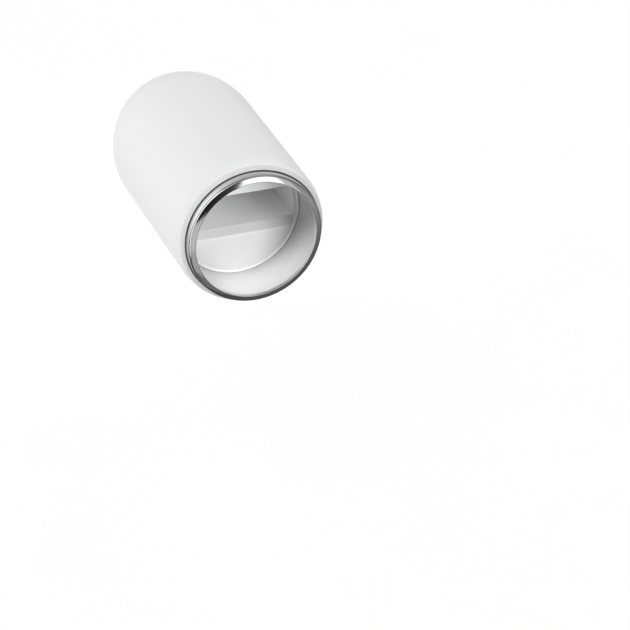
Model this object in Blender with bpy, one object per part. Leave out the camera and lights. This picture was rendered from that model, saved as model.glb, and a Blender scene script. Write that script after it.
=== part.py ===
"""Stylus cap: a domed magnetic cap that covers the plug at the end of a digital stylus.

Each piece is drawn on the cap's own axis: the local Z axis, with heights measured from the
front of the trim ring towards the domed end. One empty then lays the cap on its side, with
its mouth towards -Y, its plug slot level and one facet of its side on the plane z = 0.
Sizes are in millimetres and are turned into metres where vertices are made.
"""
import math

import bmesh
import bpy

MM = 0.001
SEGMENTS = 64
STAKE_SEGMENTS = 16
WELD = 1e-8
ROUND_PROFILE = 0.5
OVERSHOOT = 0.3

# Fit between pieces
CLEARANCE = 0.03

# Outer shell
CAP_LENGTH = 17.37
SHELL_RADIUS = 4.45
SHELL_WALL = 0.40
LEDGE_WIDTH = 0.30
TAIL_LENGTH = 2.00
DOME_LENGTH = 5.19
LIP_ROUND = 0.36
LIP_ROUND_LENGTH = 1.10
LIP_ROUND_SWEEP = 55
LIP_BREAK = 0.03

# Trim ring, drawn from sheet
RING_STAND = 0.57
RING_SHEET = 0.15
RING_TAPER = 0.05
RING_EDGE = 0.07
RING_OVERHANG = 0.08
RING_SKIRT = 1.45
RING_BEAD_HEIGHT = 0.05
RING_BEAD_LENGTH = 0.30

# Bore sleeve
SLEEVE_WALL = 0.14
SLEEVE_LAP = 0.70

# Slot insert
BORE_DEPTH = 3.19
INSERT_EDGE = 0.08
INSERT_CHAMFER = 0.15
PARTITION = 0.50
SLOT_HEIGHT = 1.72
SLOT_LEAD_IN = 0.46
SLOT_RIM = 0.12
SLOT_WEB = 0.50
POCKET_ROOF = 0.40
POCKET_COVER = 0.30
SNAP_HEIGHT = 0.05
SNAP_LENGTH = 0.50
SNAP_FROM_BACK = 0.60

# Magnets
MAGNET_WIDTH = 3.00
MAGNET_BEVEL = 0.10

# Yoke plate and the stakes that hold it
PLATE_THICKNESS = 0.40
STAKE_RADIUS = 0.35
STAKE_HEAD_RADIUS = 0.50
STAKE_HEAD_HEIGHT = 0.25
STAKE_HEAD_MARGIN = 0.10
STAKE_ANGLE = math.radians(25)

# Radii that follow from the stack of walls, from the outside in
FACET_RADIUS = SHELL_RADIUS * math.cos(math.pi / SEGMENTS)
SHELL_BORE = SHELL_RADIUS - SHELL_WALL
SEAT_RADIUS = SHELL_BORE - CLEARANCE
SKIRT_INNER = SEAT_RADIUS - RING_SHEET
NOSE_RADIUS = SKIRT_INNER - CLEARANCE
BORE_RADIUS = NOSE_RADIUS - SLEEVE_WALL
BOSS_RADIUS = BORE_RADIUS - CLEARANCE
SLOT_RADIUS = BOSS_RADIUS - SLOT_RIM
RING_FRONT_RADIUS = SEAT_RADIUS - RING_TAPER
RING_INNER = BORE_RADIUS - RING_OVERHANG
LEDGE_RADIUS = SHELL_BORE - LEDGE_WIDTH
STAKE_CIRCLE = LEDGE_RADIUS - STAKE_HEAD_MARGIN - STAKE_HEAD_RADIUS
STAKE_HOLE_RADIUS = STAKE_RADIUS + CLEARANCE

# Slot and pocket sizes across the axis
SLOT_HALF_HEIGHT = SLOT_HEIGHT / 2
LEAD_IN_HALF_HEIGHT = SLOT_HALF_HEIGHT + SLOT_LEAD_IN
POCKET_HALF_WIDTH = MAGNET_WIDTH / 2 + CLEARANCE
POCKET_LOW = SLOT_HALF_HEIGHT + POCKET_ROOF
POCKET_HIGH = math.sqrt((SEAT_RADIUS - POCKET_COVER) ** 2 - POCKET_HALF_WIDTH ** 2)
MAGNET_LOW = POCKET_LOW + CLEARANCE
MAGNET_HIGH = POCKET_HIGH - CLEARANCE

# Heights along the axis, from the ring's front to the domed end
SKIRT_END = RING_STAND + RING_SKIRT
NOSE_FRONT = RING_SHEET + CLEARANCE
SLEEVE_SHOULDER = SKIRT_END + CLEARANCE
SLEEVE_END = BORE_DEPTH + SLEEVE_LAP
BOSS_END = SLEEVE_END + CLEARANCE
POCKET_FRONT = BOSS_END + PARTITION
MAGNET_FRONT = POCKET_FRONT + CLEARANCE
DOME_START = CAP_LENGTH - DOME_LENGTH
INNER_DOME_LENGTH = DOME_LENGTH - SHELL_WALL - LEDGE_WIDTH
LEDGE_HEIGHT = DOME_START - TAIL_LENGTH
PLATE_BACK = LEDGE_HEIGHT - CLEARANCE
PLATE_FRONT = PLATE_BACK - PLATE_THICKNESS
INSERT_BACK = PLATE_FRONT - CLEARANCE
SLOT_END = INSERT_BACK - SLOT_WEB


def elliptical_arc(centre, radii, start_deg, end_deg, steps):
    """Points (radius, height) on an elliptical arc, both ends included."""
    points = []
    for step in range(steps + 1):
        angle = math.radians(start_deg + (end_deg - start_deg) * step / steps)
        points.append((centre[0] + radii[0] * math.cos(angle),
                       centre[1] + radii[1] * math.sin(angle)))
    return points


def bead(radius, low, length, height):
    """Points of a raised bead on a cylinder, from its low end to its high end."""
    return [
        (radius, low),
        (radius + height, low + length / 3),
        (radius + height, low + length * 2 / 3),
        (radius, low + length),
    ]


def groove_for(radius, low, length, height):
    """Points of the groove in a bore that takes a bead with the fit clearance all round."""
    depth = height + SEAT_RADIUS - radius + CLEARANCE
    return bead(radius, low - CLEARANCE, length + 2 * CLEARANCE, depth)


def spun(profile, segments, closed):
    """Turn (radius, height) points in millimetres about the Z axis into a bmesh.

    The middles of facets face +X, +Y, -X and -Y.
    """
    bm = bmesh.new()
    half_facet = math.pi / segments
    across = math.cos(half_facet) * MM
    aside = math.sin(half_facet) * MM
    verts = [bm.verts.new((radius * across, radius * aside, height * MM))
             for radius, height in profile]
    ends = verts[1:] + verts[:1] if closed else verts[1:]
    edges = [bm.edges.new(pair) for pair in zip(verts, ends)]
    bmesh.ops.spin(bm, geom=verts + edges, cent=(0, 0, 0), axis=(0, 0, 1),
                   angle=2 * math.pi, steps=segments, use_merge=True)
    bmesh.ops.remove_doubles(bm, verts=bm.verts, dist=WELD)
    bmesh.ops.recalc_face_normals(bm, faces=bm.faces)
    return bm


def lofted(sections):
    """Join rectangles, each (height, half width, low, high) in millimetres, into a bmesh."""
    bm = bmesh.new()
    loops = []
    for height, half_width, low, high in sections:
        corners = [(-half_width, low), (half_width, low), (half_width, high), (-half_width, high)]
        loops.append([bm.verts.new((x * MM, y * MM, height * MM)) for x, y in corners])
    for lower, upper in zip(loops, loops[1:]):
        for i in range(4):
            j = (i + 1) % 4
            bm.faces.new((lower[i], lower[j], upper[j], upper[i]))
    bm.faces.new(loops[0][::-1])
    bm.faces.new(loops[-1])
    bmesh.ops.recalc_face_normals(bm, faces=bm.faces)
    return bm


def at_stakes(bm):
    """Repeat a bmesh at the four stakes beside the slot."""
    source = bm.verts[:] + bm.edges[:] + bm.faces[:]
    for side_x in (1, -1):
        for side_y in (1, -1):
            copy = bmesh.ops.duplicate(bm, geom=source)["geom"]
            place = (side_x * STAKE_CIRCLE * math.cos(STAKE_ANGLE) * MM,
                     side_y * STAKE_CIRCLE * math.sin(STAKE_ANGLE) * MM, 0.0)
            verts = [item for item in copy if isinstance(item, bmesh.types.BMVert)]
            bmesh.ops.translate(bm, verts=verts, vec=place)
    bmesh.ops.delete(bm, geom=[item for item in source if isinstance(item, bmesh.types.BMVert)])
    return bm


def material(name, colour, roughness, metallic):
    mat = bpy.data.materials.new(name)
    mat.use_nodes = True
    shader = mat.node_tree.nodes["Principled BSDF"]
    shader.inputs["Base Color"].default_value = (*colour, 1.0)
    shader.inputs["Roughness"].default_value = roughness
    shader.inputs["Metallic"].default_value = metallic
    return mat


def added(name, bm, axis):
    """Make an object on the cap's axis from a bmesh."""
    mesh = bpy.data.meshes.new(name)
    bm.to_mesh(mesh)
    bm.free()
    obj = bpy.data.objects.new(name, mesh)
    bpy.context.scene.collection.objects.link(obj)
    obj.parent = axis
    return obj


def piece(name, bm, axis, mat):
    obj = added(name, bm, axis)
    obj.data.materials.append(mat)
    return obj


def tool(name, bm, axis):
    """Make a guide object that only cuts or joins another one."""
    obj = added(name, bm, axis)
    obj.hide_render = True
    obj.display_type = "WIRE"
    return obj


def combine(obj, other, operation):
    modifier = obj.modifiers.new(other.name, "BOOLEAN")
    modifier.operation = operation
    modifier.solver = "EXACT"
    modifier.object = other


def shade(obj, angle_deg):
    """Keep the modified mesh as the object's own and shade its round faces smooth."""
    graph = bpy.context.evaluated_depsgraph_get()
    mesh = bpy.data.meshes.new_from_object(obj.evaluated_get(graph))
    obj.modifiers.clear()
    obj.data = mesh
    mesh.shade_smooth()
    mesh.set_sharp_from_angle(angle=math.radians(angle_deg))


def outer_shell(axis):
    """White shell: domed outside, stepped bore with grooves for the ring and the insert."""
    profile = elliptical_arc((0, DOME_START), (SHELL_RADIUS, DOME_LENGTH), 90, 0, 14)
    profile += elliptical_arc((SHELL_RADIUS - LIP_ROUND, RING_STAND + LIP_ROUND_LENGTH),
                              (LIP_ROUND, LIP_ROUND_LENGTH), 0, -LIP_ROUND_SWEEP, 5)
    profile += [(SHELL_BORE + LIP_BREAK, RING_STAND), (SHELL_BORE, RING_STAND + LIP_BREAK)]
    profile += groove_for(SHELL_BORE, SKIRT_END - RING_BEAD_LENGTH, RING_BEAD_LENGTH,
                          RING_BEAD_HEIGHT)
    profile += groove_for(SHELL_BORE, INSERT_BACK - SNAP_FROM_BACK - SNAP_LENGTH, SNAP_LENGTH,
                          SNAP_HEIGHT)
    profile += [(SHELL_BORE, LEDGE_HEIGHT), (LEDGE_RADIUS, LEDGE_HEIGHT)]
    profile += elliptical_arc((0, DOME_START), (LEDGE_RADIUS, INNER_DOME_LENGTH), 0, 90, 10)
    white = material("white_gloss_plastic", (0.90, 0.90, 0.90), 0.25, 0.0)
    obj = piece("outer_shell", spun(profile, SEGMENTS, closed=False), axis, white)
    shade(obj, 30)


def trim_ring(axis):
    """Polished ring: a front face, a tapered side and a skirt that snaps into the shell."""
    side = [(SEAT_RADIUS, RING_STAND)]
    front = elliptical_arc((RING_FRONT_RADIUS - RING_EDGE, RING_EDGE), (RING_EDGE, RING_EDGE),
                           0, -90, 4)
    front += elliptical_arc((RING_INNER + RING_EDGE, RING_EDGE), (RING_EDGE, RING_EDGE),
                            -90, -180, 4)
    inside = [(RING_INNER, RING_SHEET), (SKIRT_INNER, RING_SHEET), (SKIRT_INNER, SKIRT_END)]
    skirt = bead(SEAT_RADIUS, SKIRT_END - RING_BEAD_LENGTH, RING_BEAD_LENGTH, RING_BEAD_HEIGHT)
    profile = skirt[::-1] + side + front + inside
    steel = material("polished_steel", (0.72, 0.72, 0.73), 0.10, 1.0)
    obj = piece("trim_ring", spun(profile, SEGMENTS, closed=True), axis, steel)
    shade(obj, 30)


def stake_bodies():
    """Four pins with flattened heads, standing on the insert's back."""
    head = PLATE_BACK + CLEARANCE
    profile = [(0, head + STAKE_HEAD_HEIGHT)]
    profile += elliptical_arc((0, head), (STAKE_HEAD_RADIUS, STAKE_HEAD_HEIGHT), 90, 0, 4)[1:]
    profile += [(STAKE_RADIUS, head), (STAKE_RADIUS, INSERT_BACK - OVERSHOOT)]
    profile += [(0, INSERT_BACK - OVERSHOOT)]
    return at_stakes(spun(profile, STAKE_SEGMENTS, closed=False))


def stake_holes():
    low = PLATE_FRONT - OVERSHOOT
    high = PLATE_BACK + OVERSHOOT
    profile = [(0, high), (STAKE_HOLE_RADIUS, high), (STAKE_HOLE_RADIUS, low), (0, low)]
    return at_stakes(spun(profile, STAKE_SEGMENTS, closed=False))


def slot_space():
    """The plug slot between its upper and lower faces, with lead-in slopes at its mouth."""
    def level(height, half_height):
        return (height, BOSS_RADIUS, -half_height, half_height)
    return lofted([
        level(BORE_DEPTH - OVERSHOOT, LEAD_IN_HALF_HEIGHT),
        level(BORE_DEPTH, LEAD_IN_HALF_HEIGHT),
        level(BORE_DEPTH + SLOT_LEAD_IN, SLOT_HALF_HEIGHT),
        level(SLOT_END, SLOT_HALF_HEIGHT),
    ])


def slot_ends():
    """The round bar that gives the slot its curved ends."""
    low = BORE_DEPTH - 2 * OVERSHOOT
    high = SLOT_END + OVERSHOOT
    profile = [(0, high), (SLOT_RADIUS, high), (SLOT_RADIUS, low), (0, low)]
    return spun(profile, SEGMENTS, closed=False)


def pocket_space(side):
    low, high = sorted((side * POCKET_LOW, side * POCKET_HIGH))
    return lofted([
        (POCKET_FRONT, POCKET_HALF_WIDTH, low, high),
        (INSERT_BACK + OVERSHOOT, POCKET_HALF_WIDTH, low, high),
    ])


def bore_sleeve(axis, mat):
    """White tube behind the ring: its nose backs the skirt and its end laps the insert."""
    profile = [(BORE_RADIUS, NOSE_FRONT), (NOSE_RADIUS, NOSE_FRONT)]
    profile += [(NOSE_RADIUS, SLEEVE_SHOULDER), (SEAT_RADIUS, SLEEVE_SHOULDER)]
    profile += [(SEAT_RADIUS, SLEEVE_END), (BORE_RADIUS, SLEEVE_END)]
    obj = piece("bore_sleeve", spun(profile, SEGMENTS, closed=True), axis, mat)
    shade(obj, 30)


def slot_insert(axis, mat):
    """White block that floors the bore, with the plug slot, magnet pockets and stakes."""
    snap = bead(SEAT_RADIUS, INSERT_BACK - SNAP_FROM_BACK - SNAP_LENGTH, SNAP_LENGTH, SNAP_HEIGHT)
    profile = [(0, INSERT_BACK), (SEAT_RADIUS - INSERT_CHAMFER, INSERT_BACK)]
    profile += [(SEAT_RADIUS, INSERT_BACK - INSERT_CHAMFER)] + snap[::-1]
    profile += [(SEAT_RADIUS, BOSS_END), (BOSS_RADIUS, BOSS_END)]
    profile += elliptical_arc((BOSS_RADIUS - INSERT_EDGE, BORE_DEPTH + INSERT_EDGE),
                              (INSERT_EDGE, INSERT_EDGE), 0, -90, 4)
    profile += [(0, BORE_DEPTH)]
    obj = piece("slot_insert", spun(profile, SEGMENTS, closed=False), axis, mat)
    slot = tool("slot_cutter", slot_space(), axis)
    combine(slot, tool("slot_end_guide", slot_ends(), axis), "INTERSECT")
    combine(obj, slot, "DIFFERENCE")
    combine(obj, tool("upper_pocket_cutter", pocket_space(1), axis), "DIFFERENCE")
    combine(obj, tool("lower_pocket_cutter", pocket_space(-1), axis), "DIFFERENCE")
    combine(obj, tool("stake_guide", stake_bodies(), axis), "UNION")
    shade(obj, 30)


def magnet(name, side, axis, mat):
    """Block magnet that fills its pocket up to the yoke plate."""
    low, high = sorted((side * MAGNET_LOW, side * MAGNET_HIGH))
    bm = lofted([
        (MAGNET_FRONT, MAGNET_WIDTH / 2, low, high),
        (INSERT_BACK, MAGNET_WIDTH / 2, low, high),
    ])
    bmesh.ops.bevel(bm, geom=bm.edges[:], offset=MAGNET_BEVEL * MM, segments=2,
                    profile=ROUND_PROFILE, affect="EDGES", clamp_overlap=True)
    shade(piece(name, bm, axis, mat), 30)


def yoke_plate(axis):
    """Steel disc between the insert's back and the shell's ledge, on four stakes."""
    profile = [(0, PLATE_BACK), (SEAT_RADIUS, PLATE_BACK), (SEAT_RADIUS, PLATE_FRONT)]
    profile += [(0, PLATE_FRONT)]
    steel = material("plain_steel", (0.45, 0.45, 0.46), 0.40, 1.0)
    obj = piece("yoke_plate", spun(profile, SEGMENTS, closed=False), axis, steel)
    combine(obj, tool("stake_hole_cutter", stake_holes(), axis), "DIFFERENCE")
    shade(obj, 30)


def main():
    for obj in list(bpy.data.objects):
        bpy.data.objects.remove(obj, do_unlink=True)
    axis = bpy.data.objects.new("cap_axis", None)
    bpy.context.scene.collection.objects.link(axis)
    axis.location = (0, -CAP_LENGTH / 2 * MM, FACET_RADIUS * MM)
    axis.rotation_euler = (math.pi / 2, 0, math.pi)
    bpy.context.view_layer.update()
    outer_shell(axis)
    trim_ring(axis)
    white = material("white_satin_plastic", (0.86, 0.86, 0.86), 0.45, 0.0)
    bore_sleeve(axis, white)
    slot_insert(axis, white)
    nickel = material("nickel_plate", (0.66, 0.64, 0.60), 0.22, 1.0)
    magnet("upper_magnet", 1, axis, nickel)
    magnet("lower_magnet", -1, axis, nickel)
    yoke_plate(axis)


main()
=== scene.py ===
"""Looks of the stylus cap: fine meshes, materials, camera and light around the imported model.

Sizes are in millimetres on the cap's own axis: a radius from the axis, and a height from the
front of the trim ring towards the domed end. They repeat the part's own sizes.
"""
import math

import bmesh
import bpy
from mathutils import Matrix, Vector


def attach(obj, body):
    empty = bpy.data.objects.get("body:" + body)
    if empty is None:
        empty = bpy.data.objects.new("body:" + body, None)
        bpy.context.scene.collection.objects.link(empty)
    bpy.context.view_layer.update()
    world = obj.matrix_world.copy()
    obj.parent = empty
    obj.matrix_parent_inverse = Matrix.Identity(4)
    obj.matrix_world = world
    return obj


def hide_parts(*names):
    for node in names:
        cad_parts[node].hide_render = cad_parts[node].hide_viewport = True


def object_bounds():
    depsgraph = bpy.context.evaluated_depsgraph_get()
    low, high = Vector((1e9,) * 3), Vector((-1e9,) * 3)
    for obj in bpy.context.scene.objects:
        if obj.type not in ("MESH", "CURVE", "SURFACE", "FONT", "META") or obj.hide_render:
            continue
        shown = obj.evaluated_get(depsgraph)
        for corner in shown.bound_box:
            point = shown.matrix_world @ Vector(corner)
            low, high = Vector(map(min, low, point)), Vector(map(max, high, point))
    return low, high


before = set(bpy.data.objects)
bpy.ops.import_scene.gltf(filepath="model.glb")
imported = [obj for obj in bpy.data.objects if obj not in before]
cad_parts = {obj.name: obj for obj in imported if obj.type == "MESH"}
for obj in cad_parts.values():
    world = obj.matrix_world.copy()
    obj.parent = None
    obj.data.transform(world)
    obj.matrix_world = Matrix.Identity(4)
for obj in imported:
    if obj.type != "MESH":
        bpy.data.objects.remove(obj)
cad_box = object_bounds()

MM = 0.001
AXIS_Z = (cad_box[0].z + cad_box[1].z) / 2
FRONT_Y = cad_box[0].y

# Facets
TURN = 192
STAKE_TURN = 32
FILLET_STEPS = 6
DOME_STEPS = 64
INNER_DOME_STEPS = 32
LIP_STEPS = 20
HEAD_STEPS = 8
CREASE_ANGLE = 35
OVERSHOOT = 0.3

# Shell
CAP_LENGTH = 17.37
SHELL_RADIUS = 4.45
SHELL_BORE = 4.05
DOME_LENGTH = 5.19
DOME_START = CAP_LENGTH - DOME_LENGTH
INNER_DOME_LENGTH = 4.49
LEDGE_HEIGHT = 10.18
LEDGE_RADIUS = 3.75
LIP_ROUND = 0.36
LIP_ROUND_LENGTH = 1.10
LIP_ROUND_SWEEP = 55
LIP_CORNER_ROUND = 0.06
LIP_EDGE = 0.543
RING_STAND = 0.57
GROOVE_RADIUS = 4.10
RING_GROOVE = (1.69, 1.80, 1.94, 2.05)
INSERT_GROOVE = (8.59, 8.78, 8.96, 9.15)

# Snap beads and small rounds of the pieces inside
SEAT_RADIUS = 4.02
SNAP_RADIUS = 4.07
FINE_ROUND = 0.02
SMALL_ROUND = 0.03

# Ring
SKIRT_INNER = 3.87
SKIRT_END = 2.02
RING_SNAP = (1.72, 1.82, 1.92)
RING_SEAT_FRONT = 0.70
NECK_RADIUS = 3.975
NECK_BACK = 0.65
NECK_FRONT = 0.58
FOOT_RADIUS = 4.00
FOOT_HEIGHT = 0.52
RIM_RADIUS = 3.985
RIM_HEIGHT = 0.02
RIM_ROUND = 0.14
RING_INNER = 3.60
RING_CREST = -0.12
RING_BACK = 0.15

# Sleeve
NOSE_RADIUS = 3.84
NOSE_FRONT = 0.18
SLEEVE_SHOULDER = 2.05
SLEEVE_END = 3.89
BORE_RADIUS = 3.73

# Insert
BORE_DEPTH = 3.19
BOSS_RADIUS = 3.715
BOSS_END = 3.92
BEAD_HEIGHT = 0.08
BEAD_FLAT = 0.05
BEAD_WIDTH = 0.12
BEAD_ROUND = 0.04
INSERT_BACK = 9.72
INSERT_BACK_RADIUS = 3.87
INSERT_SIDE_END = 9.57
INSERT_SNAP = (8.62, 8.787, 8.953, 9.12)
SLOT_RADIUS = 3.58
SLOT_HALF_HEIGHT = 0.86
SLOT_END = 9.22
LEAD_IN = 0.46
UPPER_LEAD_IN_LENGTH = 0.85
SLOT_LIP_ROUND = 0.05
SLOT_BEND_ROUND = 0.12

# Magnet pockets and stakes
POCKET_FRONT = 4.42
POCKET_HALF_WIDTH = 1.53
POCKET_LOW = 1.26
POCKET_HIGH = 3.39
STAKE_CIRCLE = 3.15
STAKE_ANGLE = math.radians(25)
STAKE_RADIUS = 0.35
STAKE_HEAD_RADIUS = 0.50
STAKE_HEAD_HEIGHT = 0.25
STAKE_HEAD_START = 10.18


def arc(centre, radii, start_deg, end_deg, steps):
    """Points on an elliptical arc, both ends included."""
    sweep = end_deg - start_deg
    angles = [math.radians(start_deg + sweep * i / steps) for i in range(steps + 1)]
    return [(centre[0] + radii[0] * math.cos(a), centre[1] + radii[1] * math.sin(a)) for a in angles]


def filleted(corners):
    """Round each corner (x, y, radius) that has a radius."""
    points = []
    count = len(corners)
    for i, corner in enumerate(corners):
        here = Vector(corner[:2])
        radius = corner[2] if len(corner) > 2 else 0
        if not radius:
            points.append(tuple(here))
            continue
        to_before = (Vector(corners[i - 1][:2]) - here).normalized()
        to_after = (Vector(corners[(i + 1) % count][:2]) - here).normalized()
        half = to_before.angle(to_after) / 2
        centre = here + (to_before + to_after).normalized() * radius / math.sin(half)
        first = here + to_before * radius / math.tan(half) - centre
        last = here + to_after * radius / math.tan(half) - centre
        start = math.atan2(first.y, first.x)
        sweep = (math.atan2(last.y, last.x) - start + math.pi) % (2 * math.pi) - math.pi
        for step in range(FILLET_STEPS + 1):
            angle = start + sweep * step / FILLET_STEPS
            points.append((centre.x + radius * math.cos(angle), centre.y + radius * math.sin(angle)))
    return points


def place(across, up, height):
    """World point of a point across, above and along the cap's axis."""
    return (across * MM, FRONT_Y + height * MM, AXIS_Z + up * MM)


def turned(profile, closed, across=0, up=0, segments=TURN):
    """Turn (radius, height) points about an axis along the cap into a bmesh."""
    bm = bmesh.new()
    angles = [2 * math.pi * i / segments for i in range(segments)]
    rings = []
    for radius, height in profile:
        spots = [(across + radius * math.cos(a), up + radius * math.sin(a)) for a in angles]
        if radius == 0:
            spots = [(across, up)]
        rings.append([bm.verts.new(place(*spot, height)) for spot in spots])
    pairs = list(zip(rings, rings[1:]))
    if closed:
        pairs.append((rings[-1], rings[0]))
    for one, two in pairs:
        for i in range(segments):
            j = (i + 1) % segments
            corners = [one[i % len(one)], one[j % len(one)], two[j % len(two)], two[i % len(two)]]
            bm.faces.new(list(dict.fromkeys(corners)))
    bmesh.ops.recalc_face_normals(bm, faces=bm.faces)
    return bm


def prism(outline, half_width):
    """Extrude an outline of (height, up) points across the axis into a bmesh."""
    bm = bmesh.new()
    sides = [[bm.verts.new(place(side * half_width, up, height)) for height, up in outline]
             for side in (-1, 1)]
    count = len(outline)
    for i in range(count):
        j = (i + 1) % count
        bm.faces.new((sides[0][i], sides[0][j], sides[1][j], sides[1][i]))
    bm.faces.new(sides[0])
    bm.faces.new(sides[1])
    bmesh.ops.recalc_face_normals(bm, faces=bm.faces)
    return bm


def added(name, bm):
    """Put a bmesh into the scene as an object."""
    mesh = bpy.data.meshes.new(name)
    bm.to_mesh(mesh)
    bm.free()
    obj = bpy.data.objects.new(name, mesh)
    bpy.context.scene.collection.objects.link(obj)
    return obj


def smooth(obj):
    """Smooth shading with creases."""
    obj.data.shade_smooth()
    obj.data.set_sharp_from_angle(angle=math.radians(CREASE_ANGLE))
    weighted = obj.modifiers.new("weighted_normals", "WEIGHTED_NORMAL")
    weighted.keep_sharp = True


def combine(obj, operation, others):
    """Join, subtract or intersect other bodies with a piece, and remove them."""
    for other in others:
        modifier = obj.modifiers.new(other.name, "BOOLEAN")
        modifier.operation = operation
        modifier.solver = "EXACT"
        modifier.object = other
    graph = bpy.context.evaluated_depsgraph_get()
    mesh = bpy.data.meshes.new_from_object(obj.evaluated_get(graph))
    obj.modifiers.clear()
    obj.data = mesh
    for other in others:
        bpy.data.objects.remove(other)


def groove(heights):
    """A snap groove in the shell's bore, from front to back."""
    return list(zip((SHELL_BORE, GROOVE_RADIUS, GROOVE_RADIUS, SHELL_BORE), heights))


def shell_piece():
    profile = arc((0, DOME_START), (SHELL_RADIUS, DOME_LENGTH), 90, 0, DOME_STEPS)
    profile[0] = (0, CAP_LENGTH)
    lip = arc((SHELL_RADIUS - LIP_ROUND, RING_STAND + LIP_ROUND_LENGTH),
              (LIP_ROUND, LIP_ROUND_LENGTH), 0, -LIP_ROUND_SWEEP, LIP_STEPS)
    lip[-1] = (*lip[-1], LIP_CORNER_ROUND)
    lip.append((SHELL_BORE, LIP_EDGE, FINE_ROUND))
    ledge = [(SHELL_BORE, LEDGE_HEIGHT), (LEDGE_RADIUS, LEDGE_HEIGHT)]
    profile += filleted(lip + groove(RING_GROOVE) + groove(INSERT_GROOVE) + ledge)
    profile += arc((0, DOME_START), (LEDGE_RADIUS, INNER_DOME_LENGTH), 0, 90, INNER_DOME_STEPS)
    profile[-1] = (0, DOME_START + INNER_DOME_LENGTH)
    obj = added("shell_body", turned(profile, closed=False))
    smooth(obj)
    return obj


def ring_piece():
    skirt = [(SKIRT_INNER, SKIRT_END), (SEAT_RADIUS, SKIRT_END), (SNAP_RADIUS, RING_SNAP[2]),
             (SNAP_RADIUS, RING_SNAP[1]), (SEAT_RADIUS, RING_SNAP[0])]
    neck = [(SEAT_RADIUS, RING_SEAT_FRONT, FINE_ROUND), (NECK_RADIUS, NECK_BACK, FINE_ROUND),
            (NECK_RADIUS, NECK_FRONT, FINE_ROUND), (FOOT_RADIUS, FOOT_HEIGHT, FINE_ROUND)]
    front = [(RIM_RADIUS, RIM_HEIGHT, RIM_ROUND), (RING_INNER, RING_CREST, SMALL_ROUND),
             (RING_INNER, RING_BACK), (SKIRT_INNER, RING_BACK)]
    obj = added("mouth_ring", turned(filleted(skirt + neck + front), closed=True))
    smooth(obj)
    return obj


def sleeve_piece():
    nose = [(BORE_RADIUS, NOSE_FRONT, SMALL_ROUND), (NOSE_RADIUS, NOSE_FRONT, SMALL_ROUND),
            (NOSE_RADIUS, SLEEVE_SHOULDER)]
    body = [(SEAT_RADIUS, SLEEVE_SHOULDER, SMALL_ROUND), (SEAT_RADIUS, SLEEVE_END, SMALL_ROUND),
            (BORE_RADIUS, SLEEVE_END, SMALL_ROUND)]
    obj = added("bore_tube", turned(filleted(nose + body), closed=True))
    smooth(obj)
    return obj


def slot_edge(length):
    """The upper half of the slot's outline, as (height, up) points from its mouth to its end."""
    corners = [(BORE_DEPTH, BOSS_RADIUS), (BORE_DEPTH, SLOT_HALF_HEIGHT + LEAD_IN, SLOT_LIP_ROUND),
               (BORE_DEPTH + length, SLOT_HALF_HEIGHT, SLOT_BEND_ROUND), (SLOT_END, SLOT_HALF_HEIGHT)]
    edge = filleted(corners)[2:]
    return [(BORE_DEPTH - OVERSHOOT, edge[0][1])] + edge


def slot_space():
    """The flared slot, with its ends rounded about the cap's axis."""
    lower = [(height, -up) for height, up in reversed(slot_edge(LEAD_IN))]
    space = added("slot_space", prism(slot_edge(UPPER_LEAD_IN_LENGTH) + lower, BOSS_RADIUS))
    low, high = BORE_DEPTH - 2 * OVERSHOOT, SLOT_END + OVERSHOOT
    bar_profile = [(0, low), (SLOT_RADIUS, low), (SLOT_RADIUS, high), (0, high)]
    bar = added("slot_bar", turned(bar_profile, closed=False))
    combine(space, "INTERSECT", [bar])
    return space


def pocket_space(side):
    low, high = side * POCKET_LOW, side * POCKET_HIGH
    back = INSERT_BACK + OVERSHOOT
    outline = [(POCKET_FRONT, low), (back, low), (back, high), (POCKET_FRONT, high)]
    return added("pocket_space", prism(outline, POCKET_HALF_WIDTH))


def stakes():
    """Four pins through the yoke plate, with domed heads."""
    profile = arc((0, STAKE_HEAD_START), (STAKE_HEAD_RADIUS, STAKE_HEAD_HEIGHT), 90, 0, HEAD_STEPS)
    profile[0] = (0, STAKE_HEAD_START + STAKE_HEAD_HEIGHT)
    root = INSERT_BACK - OVERSHOOT
    profile += [(STAKE_RADIUS, STAKE_HEAD_START), (STAKE_RADIUS, root), (0, root)]
    across, up = STAKE_CIRCLE * math.cos(STAKE_ANGLE), STAKE_CIRCLE * math.sin(STAKE_ANGLE)
    return [added("stake", turned(profile, False, side_x * across, side_y * up, STAKE_TURN))
            for side_x in (-1, 1) for side_y in (-1, 1)]


def insert_piece():
    back = [(0, INSERT_BACK), (INSERT_BACK_RADIUS, INSERT_BACK), (SEAT_RADIUS, INSERT_SIDE_END)]
    radii = (SEAT_RADIUS, SNAP_RADIUS, SNAP_RADIUS, SEAT_RADIUS)
    side = list(zip(radii, reversed(INSERT_SNAP))) + [(SEAT_RADIUS, BOSS_END), (BOSS_RADIUS, BOSS_END)]
    bead = BORE_DEPTH - BEAD_HEIGHT
    rim = [(BOSS_RADIUS, bead, BEAD_ROUND), (BOSS_RADIUS - BEAD_FLAT, bead, FINE_ROUND),
           (BOSS_RADIUS - BEAD_WIDTH, BORE_DEPTH, FINE_ROUND), (0, BORE_DEPTH)]
    obj = added("slot_block", turned(filleted(back + side + rim), closed=False))
    combine(obj, "DIFFERENCE", [slot_space(), pocket_space(1), pocket_space(-1)])
    combine(obj, "UNION", stakes())
    smooth(obj)
    return obj


pieces = {
    "outer_shell": shell_piece(),
    "trim_ring": ring_piece(),
    "bore_sleeve": sleeve_piece(),
    "slot_insert": insert_piece(),
}
for node, obj in pieces.items():
    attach(obj, "root")
    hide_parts(node)


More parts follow.
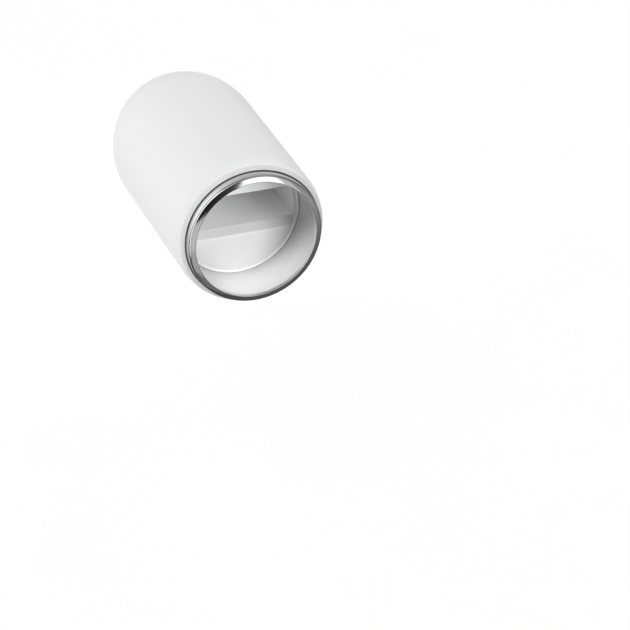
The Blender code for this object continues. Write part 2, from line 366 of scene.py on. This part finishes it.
def wire(tree, kind, inputs, **settings):
    """Add a shader node, set or link its inputs, and return it."""
    added_node = tree.nodes.new("ShaderNode" + kind)
    for key, value in settings.items():
        setattr(added_node, key, value)
    for key, value in inputs.items():
        if isinstance(value, bpy.types.NodeSocket):
            tree.links.new(value, added_node.inputs[key])
        else:
            added_node.inputs[key].default_value = value
    return added_node


NOISE_RANGE = (0.3, 0.7)
NOISE_DETAIL = 2.0


def noise(tree, where, grain):
    """Noise whose grains are about so many millimetres wide."""
    inputs = {"Vector": where, "Scale": 1 / (grain * MM), "Detail": NOISE_DETAIL}
    return wire(tree, "TexNoise", inputs).outputs["Fac"]


def spread(tree, value, from_range, to_range):
    """Bring a value from one range to another, and hold it there."""
    inputs = {"Value": value, "From Min": from_range[0], "From Max": from_range[1],
              "To Min": to_range[0], "To Max": to_range[1]}
    return wire(tree, "MapRange", inputs).outputs["Result"]


def larger(tree, one, two):
    return wire(tree, "Math", {0: one, 1: two}, operation="MAXIMUM").outputs[0]


class Finish:
    """A material with places on the cap's axis, in metres, for its textures."""

    def __init__(self, name, metallic):
        self.material = bpy.data.materials.new(name)
        self.material.use_nodes = True
        self.tree = self.material.node_tree
        self.shader = self.tree.nodes["Principled BSDF"]
        self.shader.inputs["Metallic"].default_value = metallic
        point = wire(self.tree, "TexCoord", {}).outputs["Object"]
        self.point = wire(self.tree, "VectorMath", {0: point, 1: place(0, 0, 0)},
                          operation="SUBTRACT").outputs["Vector"]
        parts = wire(self.tree, "SeparateXYZ", {0: self.point})
        self.height = parts.outputs["Y"]
        self.up = parts.outputs["Z"]
        flat = wire(self.tree, "CombineXYZ", {"X": parts.outputs["X"], "Z": parts.outputs["Z"]})
        self.radius = wire(self.tree, "VectorMath", {0: flat.outputs[0]},
                           operation="LENGTH").outputs["Value"]
        self.round = wire(self.tree, "CombineXYZ", {"X": self.radius, "Y": self.height}).outputs[0]

    def drift(self, grain, low, high, where=None):
        """Noise of a grain in millimetres between two values."""
        return spread(self.tree, noise(self.tree, where or self.point, grain), NOISE_RANGE, (low, high))

    def tone(self, grain, low, high, where=None, shade=None):
        """Grey that drifts between two values, times a shade if there is one."""
        value = self.drift(grain, low, high, where)
        if shade:
            value = wire(self.tree, "Math", {0: shade, 1: value}, operation="MULTIPLY").outputs[0]
        self.tree.links.new(value, self.shader.inputs["Base Color"])

    def gloss(self, grain, low, high, where=None):
        """Roughness that drifts between two values."""
        self.tree.links.new(self.drift(grain, low, high, where), self.shader.inputs["Roughness"])

    def relief(self, grain, depth, where=None):
        """Bumps of a grain and a depth in millimetres."""
        bump = wire(self.tree, "Bump", {"Height": noise(self.tree, where or self.point, grain),
                                        "Strength": 1.0, "Distance": depth * MM})
        self.tree.links.new(bump.outputs["Normal"], self.shader.inputs["Normal"])


SHELL_TONE = 0.895
# Painted shade: the shell's lip beside the ring is greyer than the side.
LIP_PAINTED_SHADE = 0.76
LIP_PAINTED_SHADE_RADII = (4.25 * MM, 4.29 * MM)
LIP_PAINTED_SHADE_HEIGHTS = (1.0 * MM, 1.2 * MM)
# Painted light and shade in the insert: the floor greyed, the slot lightened, and painted highlights on
# the rim bead and the slot's lips.
FLOOR_PAINTED_SHADE = 0.72
SLOT_PAINTED_LIGHT = 0.98
# Painted highlights: lighter lines along the rim bead and the slot's lips.
BEAD_PAINTED_HIGHLIGHT = 0.86
EDGE_PAINTED_HIGHLIGHT = 0.84
SLOT_PAINTED_LIGHT_RAMP = 0.10
BEAD_PAINTED_HIGHLIGHT_RAMP = 0.02
EDGE_PAINTED_HIGHLIGHT_HALF_WIDTH = 0.05


def shell_finish():
    """Glossy moulded plastic with a faint orange peel, and painted shade that greys the lip."""
    finish = Finish("shell_white", metallic=0)
    # Painted shade on the lip, inside these radii and in front of these heights.
    across = spread(finish.tree, finish.radius, LIP_PAINTED_SHADE_RADII, (LIP_PAINTED_SHADE, SHELL_TONE))
    along = spread(finish.tree, finish.height, LIP_PAINTED_SHADE_HEIGHTS, (LIP_PAINTED_SHADE, SHELL_TONE))
    finish.tone(grain=6.0, low=0.994, high=1.006, shade=larger(finish.tree, across, along))
    finish.gloss(grain=6.0, low=0.30, high=0.34)
    finish.relief(grain=0.3, depth=0.0001)
    return finish.material


def ring_finish():
    """Polished steel with fine turning marks."""
    finish = Finish("ring_steel", metallic=1)
    finish.tone(grain=0.08, low=0.70, high=0.76, where=finish.round)
    finish.gloss(grain=0.05, low=0.10, high=0.15, where=finish.round)
    finish.relief(grain=0.04, depth=0.0001, where=finish.round)
    return finish.material


def sleeve_finish():
    """Satin moulded plastic, greyed as painted shade for the inside of the bore."""
    finish = Finish("sleeve_white", metallic=0)
    # Painted shade: the white plastic is a mid grey here, darker than the shell, to darken the bore.
    finish.tone(grain=1.0, low=0.55, high=0.57)
    finish.gloss(grain=0.3, low=0.38, high=0.46)
    finish.relief(grain=0.06, depth=0.0008)
    return finish.material


def insert_finish():
    """Satin plastic with painted light and shade: a greyed floor, a lighter slot, and painted
    highlights on the rim bead and the slot's lips.
    """
    finish = Finish("insert_white", metallic=0)
    tree = finish.tree
    # Painted light: the slot is lighter than the greyed floor and lead-ins.
    slot_start = (BORE_DEPTH + LEAD_IN) * MM
    slot_painted_light = spread(tree, finish.height, (slot_start, slot_start + SLOT_PAINTED_LIGHT_RAMP * MM),
                     (FLOOR_PAINTED_SHADE, SLOT_PAINTED_LIGHT))
    # Painted highlight on the rim bead.
    bead_start = (BOSS_RADIUS - BEAD_WIDTH - BEAD_PAINTED_HIGHLIGHT_RAMP / 2) * MM
    bead_painted_highlight = spread(tree, finish.radius, (bead_start, bead_start + BEAD_PAINTED_HIGHLIGHT_RAMP * MM),
                     (FLOOR_PAINTED_SHADE, BEAD_PAINTED_HIGHLIGHT))
    # Painted highlight along the slot's lips.
    off_middle = wire(tree, "Math", {0: finish.up}, operation="ABSOLUTE").outputs[0]
    near_edge = {0: off_middle, 1: (SLOT_HALF_HEIGHT + LEAD_IN) * MM, 2: EDGE_PAINTED_HIGHLIGHT_HALF_WIDTH * MM}
    edge_painted_highlight = spread(tree, wire(tree, "Math", near_edge, operation="COMPARE").outputs[0],
                     (0, 1), (FLOOR_PAINTED_SHADE, EDGE_PAINTED_HIGHLIGHT))
    shade = larger(tree, larger(tree, slot_painted_light, bead_painted_highlight), edge_painted_highlight)
    finish.tone(grain=1.0, low=0.98, high=1.0, shade=shade)
    finish.gloss(grain=0.3, low=0.40, high=0.50)
    finish.relief(grain=0.06, depth=0.0008)
    return finish.material


def magnet_finish():
    """Nickel plate with a mottled bloom."""
    finish = Finish("magnet_nickel", metallic=1)
    finish.tone(grain=0.4, low=0.60, high=0.72)
    finish.gloss(grain=0.25, low=0.18, high=0.34)
    finish.relief(grain=0.10, depth=0.002)
    return finish.material


STRIP_STRETCH = (0.08, 1.0, 1.0)


def yoke_finish():
    """Cold-rolled steel, with its grain along the strip."""
    finish = Finish("yoke_steel", metallic=1)
    stretched = wire(finish.tree, "VectorMath", {0: finish.point, 1: STRIP_STRETCH},
                     operation="MULTIPLY").outputs["Vector"]
    finish.tone(grain=0.12, low=0.42, high=0.55, where=stretched)
    finish.gloss(grain=0.10, low=0.28, high=0.45, where=stretched)
    finish.relief(grain=0.08, depth=0.002, where=stretched)
    return finish.material


magnet_look = magnet_finish()
looks = {"outer_shell": shell_finish(), "trim_ring": ring_finish(), "bore_sleeve": sleeve_finish(),
         "slot_insert": insert_finish(), "upper_magnet": magnet_look, "lower_magnet": magnet_look,
         "yoke_plate": yoke_finish()}
for node, look in looks.items():
    if node in pieces:
        pieces[node].data.materials.clear()
        pieces[node].data.materials.append(look)
    else:
        for material_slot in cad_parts[node].material_slots:
            material_slot.material = look

# Camera, from the ellipses and outline in the photo: its angles, its distance in millimetres and
# the place of the ring's front beside and above the middle of its view
AZIMUTH = math.radians(-19.908)
ELEVATION = math.radians(29.350)
DISTANCE = 199.51
ASIDE = -3.347
ABOVE = 4.3058
FOCAL_PIXELS = 3520.4
IMAGE_WIDTH = 630
SENSOR_WIDTH = 36
CLIP_START = 0.01
right = Vector((math.cos(AZIMUTH), math.sin(AZIMUTH), 0))
back = Vector((math.sin(AZIMUTH) * math.cos(ELEVATION), -math.cos(AZIMUTH) * math.cos(ELEVATION),
               math.sin(ELEVATION)))
up = back.cross(right)
camera_data = bpy.data.cameras.new("camera")
camera_data.sensor_width = SENSOR_WIDTH
camera_data.lens = FOCAL_PIXELS / IMAGE_WIDTH * SENSOR_WIDTH
camera_data.clip_start = CLIP_START
camera = bpy.data.objects.new("camera", camera_data)
bpy.context.scene.collection.objects.link(camera)
spot = Vector(place(0, 0, 0)) + (back * DISTANCE - right * ASIDE - up * ABOVE) * MM
turn = Matrix((right, up, back)).transposed().to_4x4()
camera.matrix_world = Matrix.Translation(spot) @ turn
bpy.context.scene.camera = camera

# Floor, seen by the camera alone so that the light from below reaches the cap
FLOOR_CELLS = 8
FLOOR_HALF_SIZE = 2.0
FLOOR_GLOW = 0.96
floor_bm = bmesh.new()
bmesh.ops.create_grid(floor_bm, x_segments=FLOOR_CELLS, y_segments=FLOOR_CELLS, size=FLOOR_HALF_SIZE)
floor = added("floor", floor_bm)
floor.location.z = AXIS_Z - SHELL_RADIUS * MM
floor_look = Finish("pale_floor", metallic=0)
floor_look.tone(grain=8.0, low=0.20, high=0.22)
floor_look.gloss(grain=4.0, low=0.55, high=0.65)
floor_look.shader.inputs["Specular IOR Level"].default_value = 0
floor_look.shader.inputs["Emission Color"].default_value = (1, 1, 1, 1)
floor_look.shader.inputs["Emission Strength"].default_value = FLOOR_GLOW
floor.data.materials.append(floor_look.material)
floor.visible_diffuse = False
floor.visible_glossy = False
floor.visible_shadow = False


def towards(azimuth_deg, elevation_deg):
    """Unit vector at an azimuth from +X towards +Y and an elevation."""
    azimuth, elevation = math.radians(azimuth_deg), math.radians(elevation_deg)
    return Vector((math.cos(elevation) * math.cos(azimuth), math.cos(elevation) * math.sin(azimuth),
                   math.sin(elevation)))


LIGHT_DISTANCE = 0.5
GLINT_DISTANCE = 0.03
GLINT_CONE = 5
GLINT_RADIUS = 1.0
LIGHT_TARGET = Vector(place(0, 0, 0))
bore_group = bpy.data.collections.new("bore_group")
bore_group.objects.link(pieces["bore_sleeve"])
bore_group.objects.link(pieces["slot_insert"])
shell_group = bpy.data.collections.new("shell_group")
shell_group.objects.link(pieces["outer_shell"])


def lamp(data, target, direction, distance):
    """Put a light at a distance from its target, and aim it there."""
    light = bpy.data.objects.new(data.name, data)
    light.location = target + direction * distance
    light.rotation_euler = (-direction).to_track_quat("-Z", "Y").to_euler()
    light.visible_camera = False
    bpy.context.scene.collection.objects.link(light)
    return light


def softbox(name, azimuth, elevation, width, height, watts):
    """A soft light by its direction and its size in degrees, as seen from the cap."""
    data = bpy.data.lights.new(name, "AREA")
    data.shape = "RECTANGLE"
    data.size = 2 * LIGHT_DISTANCE * math.tan(math.radians(width / 2))
    data.size_y = 2 * LIGHT_DISTANCE * math.tan(math.radians(height / 2))
    data.energy = watts
    return lamp(data, LIGHT_TARGET, towards(azimuth, elevation), LIGHT_DISTANCE)


def glint(name, at, azimuth, elevation, watts):
    """A small spot of light on a place given across, above and along the axis."""
    data = bpy.data.lights.new(name, "SPOT")
    data.spot_size = math.radians(GLINT_CONE)
    data.spot_blend = 1.0
    data.shadow_soft_size = GLINT_RADIUS * MM
    data.energy = watts
    return lamp(data, Vector(place(*at)), towards(azimuth, elevation), GLINT_DISTANCE)


# Strips that show only in glossy reflections, most of all in the polished ring
strips = [
    softbox("front_strip", 290, 12, 24, 26, 0.22),
    softbox("front_fade", 306, 4, 10, 26, 0.023),
    softbox("left_strip", 249, -19, 24, 20, 0.074),
    softbox("low_left_strip", 252, -37, 26, 16, 0.043),
    softbox("lower_left_strip", 258, -52, 30, 14, 0.014),
    softbox("tall_strip", 210, 10, 34, 90, 1.40),
    softbox("high_left_strip", 242, 36, 38, 32, 0.24),
]
for light in strips:
    light.visible_diffuse = False

# Lights into the bore
bore_lights = [
    softbox("bore_front", 289, 18, 30, 20, 1.50),
    softbox("bore_low", 283, -20, 40, 30, 1.00),
    softbox("bore_left", 230, 60, 24, 16, 1.95),
    softbox("bore_top", 275, 65, 14, 14, 0.95),
    glint("bore_glint", (-0.6, -3.68, 2.2), 270, 55, 0.010),
]
for light in bore_lights:
    light.visible_glossy = False
    light.light_linking.receiver_collection = bore_group

# Lights onto the shell
shell_lights = [
    softbox("shell_front", 275, 20, 60, 60, 1.45),
    softbox("shell_left", 178, -20, 70, 70, 2.40),
    softbox("shell_right", 345, 30, 70, 70, 0.60),
    softbox("shell_top", 270, 85, 70, 70, 2.05),
]
for light in shell_lights:
    light.visible_glossy = False
    light.light_linking.receiver_collection = shell_group

# Sky: lobes by azimuth, elevation, sharpness and strength, for soft light and for reflections
SKY_SOFT = {
    "behind": (100, 0, 2.0, 0.70),
    "below": (0, -90, 2.0, 0.55),
}
SKY_MIRRORED = {
    "back_left": (125, 10, 5.0, 1.20),
    "back_high": (62, 32, 4.0, 0.36),
    "right_low": (320, -8, 10.0, 0.34),
    "under": (310, -65, 5.0, 0.08),
    "rim": (70, -29, 6.0, 0.80),
    "high": (310, 62, 5.0, 0.40),
}
world = bpy.data.worlds.new("studio")
world.use_nodes = True
sky = world.node_tree
sky.nodes["Background"].inputs["Color"].default_value = (1, 1, 1, 1)
look_at = wire(sky, "TexCoord", {}).outputs["Generated"]
mirrored = wire(sky, "LightPath", {}).outputs["Is Glossy Ray"]


def lobes(table):
    """Strength of a table's lobes together."""
    total = 0.0
    for azimuth, elevation, sharpness, strength in table.values():
        facing = wire(sky, "VectorMath", {0: look_at, 1: towards(azimuth, elevation)},
                      operation="DOT_PRODUCT").outputs["Value"]
        power = wire(sky, "Math", {0: facing, 1: sharpness, 2: -sharpness},
                     operation="MULTIPLY_ADD").outputs[0]
        lobe = wire(sky, "Math", {0: power}, operation="EXPONENT").outputs[0]
        total = wire(sky, "Math", {0: lobe, 1: strength, 2: total}, operation="MULTIPLY_ADD").outputs[0]
    return total


sky_strength = wire(sky, "Mix", {"Factor": mirrored, "A": lobes(SKY_SOFT), "B": lobes(SKY_MIRRORED)})
sky.links.new(sky_strength.outputs["Result"], sky.nodes["Background"].inputs["Strength"])
bpy.context.scene.world = world
bpy.context.scene.view_settings.view_transform = "Standard"
